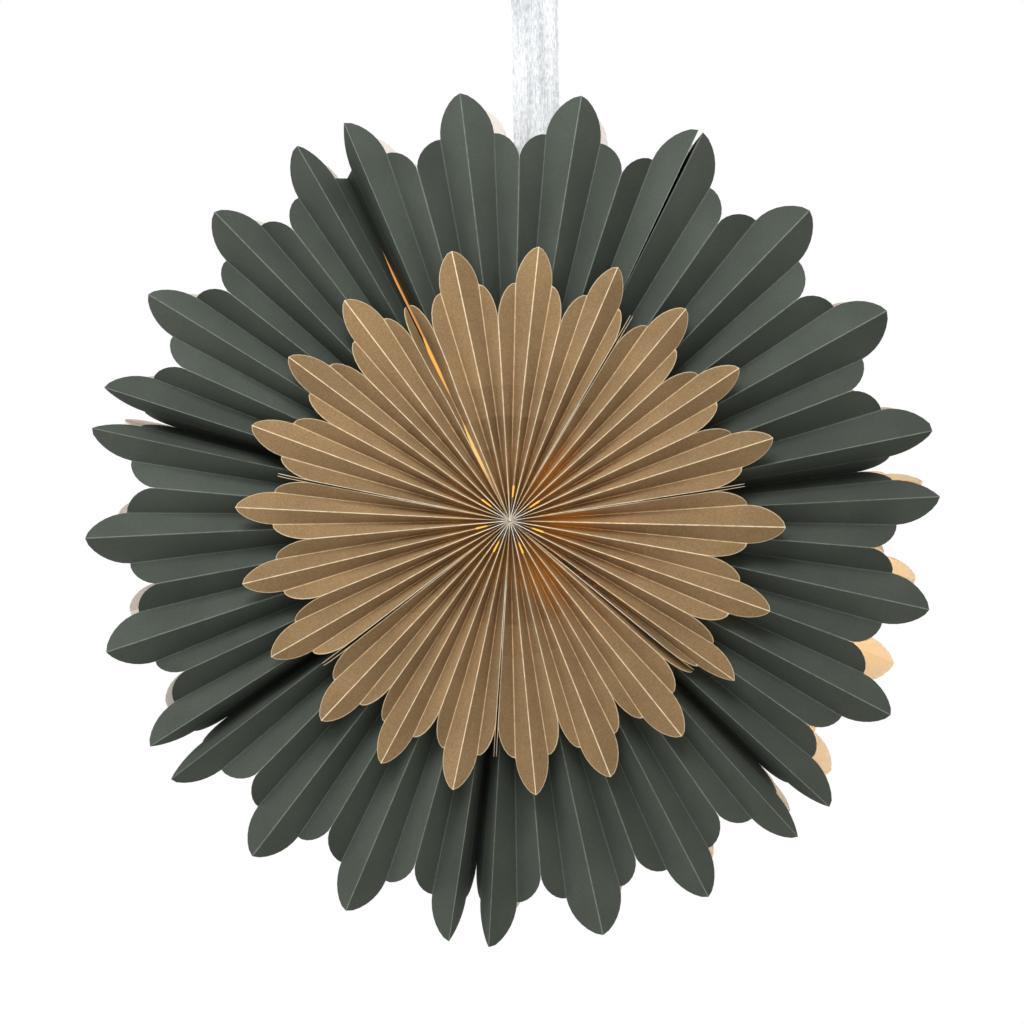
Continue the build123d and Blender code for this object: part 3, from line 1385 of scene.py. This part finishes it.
@dataclass(frozen=True)
class AreaLamp:
    """Soft lamp that looks at the star's middle."""

    name: str
    place: Place
    size: float
    power: float
    colour: Colour

    def build(self) -> None:
        """Put up the lamp."""
        data = bpy.data.lights.new(self.name, "AREA")
        data.size = self.size
        data.energy = self.power
        data.color = self.colour
        lamp = bpy.data.objects.new(self.name, data)
        bpy.context.collection.objects.link(lamp)
        lamp.location = self.place
        lamp.rotation_euler = (-Vector(self.place)).to_track_quat("-Z", "Y").to_euler()


@dataclass(frozen=True)
class InnerLamp:
    """Warm lamp in the star's lamp space, brightest towards the lower right."""

    place: Place = (0.040, 0.0, -0.026)
    aim: Place = (1.0, 0.30, -0.55)
    colour: Colour = (0.96, 0.59, 0.11)
    powers: tuple[tuple[str, float], ...] = (("POINT", 3.4), ("SPOT", 10.0))
    radius: float = 0.035
    smoothing: float = 0.01
    cone: float = 110.0
    cone_blend: float = 0.6

    def build(self) -> None:
        """Put up an even lamp and a beam, both softened so that the nearest card doesn't burn out."""
        for kind, power in self.powers:
            data = bpy.data.lights.new(f"inner_{kind.lower()}", kind)
            data.energy = power
            data.color = self.colour
            data.shadow_soft_size = self.radius
            self.soften(data)
            lamp = bpy.data.objects.new(data.name, data)
            bpy.context.collection.objects.link(lamp)
            lamp.location = self.place
            lamp.rotation_euler = Vector(self.aim).to_track_quat("-Z", "Y").to_euler()
            lamp.visible_camera = False
            if kind == "SPOT":
                data.spot_size = radians(self.cone)
                data.spot_blend = self.cone_blend

    def soften(self, data: bpy.types.Light) -> None:
        """Smooth a lamp's falloff, which takes strength only from what is close to it.

        Args:
            data: The lamp.
        """
        data.use_nodes = True
        tree = data.node_tree
        falloff = tree.nodes.new("ShaderNodeLightFalloff")
        falloff.inputs["Strength"].default_value = 1.0
        falloff.inputs["Smooth"].default_value = self.smoothing
        tree.links.new(falloff.outputs["Quadratic"], tree.nodes["Emission"].inputs["Strength"])


STUDIO_LAMPS = (
    AreaLamp("key_lamp", place=(-0.28, -1.10, 1.16), size=0.9, power=23.0, colour=(0.96, 0.99, 1.0)),
    AreaLamp("fill_lamp", place=(-0.1, -2.5, 0.2), size=2.0, power=9.3, colour=(0.98, 0.99, 1.0)),
    AreaLamp("side_lamp", place=(-1.5, -0.45, 0.0), size=0.8, power=6.0, colour=(1.0, 0.98, 0.96)),
    AreaLamp("warm_bounce", place=(1.0, -1.1, -0.7), size=0.8, power=1.5, colour=(1.0, 0.84, 0.62)),
    AreaLamp("back_lamp", place=(0.6, 1.7, 0.9), size=1.2, power=14.0, colour=(0.98, 0.99, 1.0)),
)


@dataclass
class Studio:
    """Camera, soft lamps, the warm lamp inside the star, and the floor."""

    camera_place: Place = (0.0001, -1.571, 0.0046)
    lens: float = 65.65
    sensor: float = 36.0
    view_end: float = 50.0
    sky_strength: float = 0.44
    floor_drop: float = 0.60
    floor_size: float = 2.6
    floor_colour: Colour = (0.86, 0.86, 0.86)
    floor_roughness: float = 0.9

    def build(self) -> None:
        """Set up everything that isn't part of the star."""
        self.add_camera()
        self.add_world()
        self.add_floor()
        for lamp in (*STUDIO_LAMPS, InnerLamp()):
            lamp.build()

    def add_camera(self) -> None:
        """Look straight at the star's front, at the height of its middle."""
        data = bpy.data.cameras.new("camera")
        data.sensor_width = self.sensor
        data.lens = self.lens
        data.clip_end = self.view_end
        camera = bpy.data.objects.new("camera", data)
        bpy.context.collection.objects.link(camera)
        camera.location = self.camera_place
        camera.rotation_euler = (pi / 2, 0.0, 0.0)
        bpy.context.scene.camera = camera

    def add_world(self) -> None:
        """White to the camera, and a soft even light on the star."""
        world = bpy.data.worlds.new("studio")
        bpy.context.scene.world = world
        world.use_nodes = True
        tree = world.node_tree
        background = tree.nodes["Background"]
        background.inputs["Color"].default_value = rgba((1.0, 1.0, 1.0))
        path = tree.nodes.new("ShaderNodeLightPath")
        seen = path.outputs["Is Camera Ray"]
        for ray in ("Is Glossy Ray", "Is Transmission Ray"):
            either = tree.nodes.new("ShaderNodeMath")
            either.operation = "MAXIMUM"
            tree.links.new(seen, either.inputs[0])
            tree.links.new(path.outputs[ray], either.inputs[1])
            seen = either.outputs[0]
        strength = tree.nodes.new("ShaderNodeMapRange")
        tree.links.new(seen, strength.inputs["Value"])
        strength.inputs["To Min"].default_value = self.sky_strength
        strength.inputs["To Max"].default_value = 1.0
        tree.links.new(strength.outputs[0], background.inputs["Strength"])

    def add_floor(self) -> None:
        """Pale floor below the star."""
        deselect_all()
        height = CAD_BOX[0][2] - self.floor_drop
        bpy.ops.mesh.primitive_plane_add(size=self.floor_size, location=(0.0, 0.0, height))
        floor = bpy.context.object
        floor.name = "floor"
        graph = NodeGraph("pale_floor")
        graph.shader.inputs["Base Color"].default_value = rgba(self.floor_colour)
        graph.shader.inputs["Roughness"].default_value = self.floor_roughness
        floor.data.materials.append(graph.material)


def main() -> None:
    """Build the star's pieces in order, then the studio round them."""
    logging.basicConfig(level=logging.INFO, format="%(name)s: %(message)s")
    pieces = StarBody().build()
    pieces.append(HangingRibbon().build())
    for piece in pieces:
        LOG.info("%s: %d faces", piece.name, len(piece.data.polygons))
    Studio().build()
    bpy.context.scene.view_settings.view_transform = "Standard"


if __name__ == "__main__":
    main()
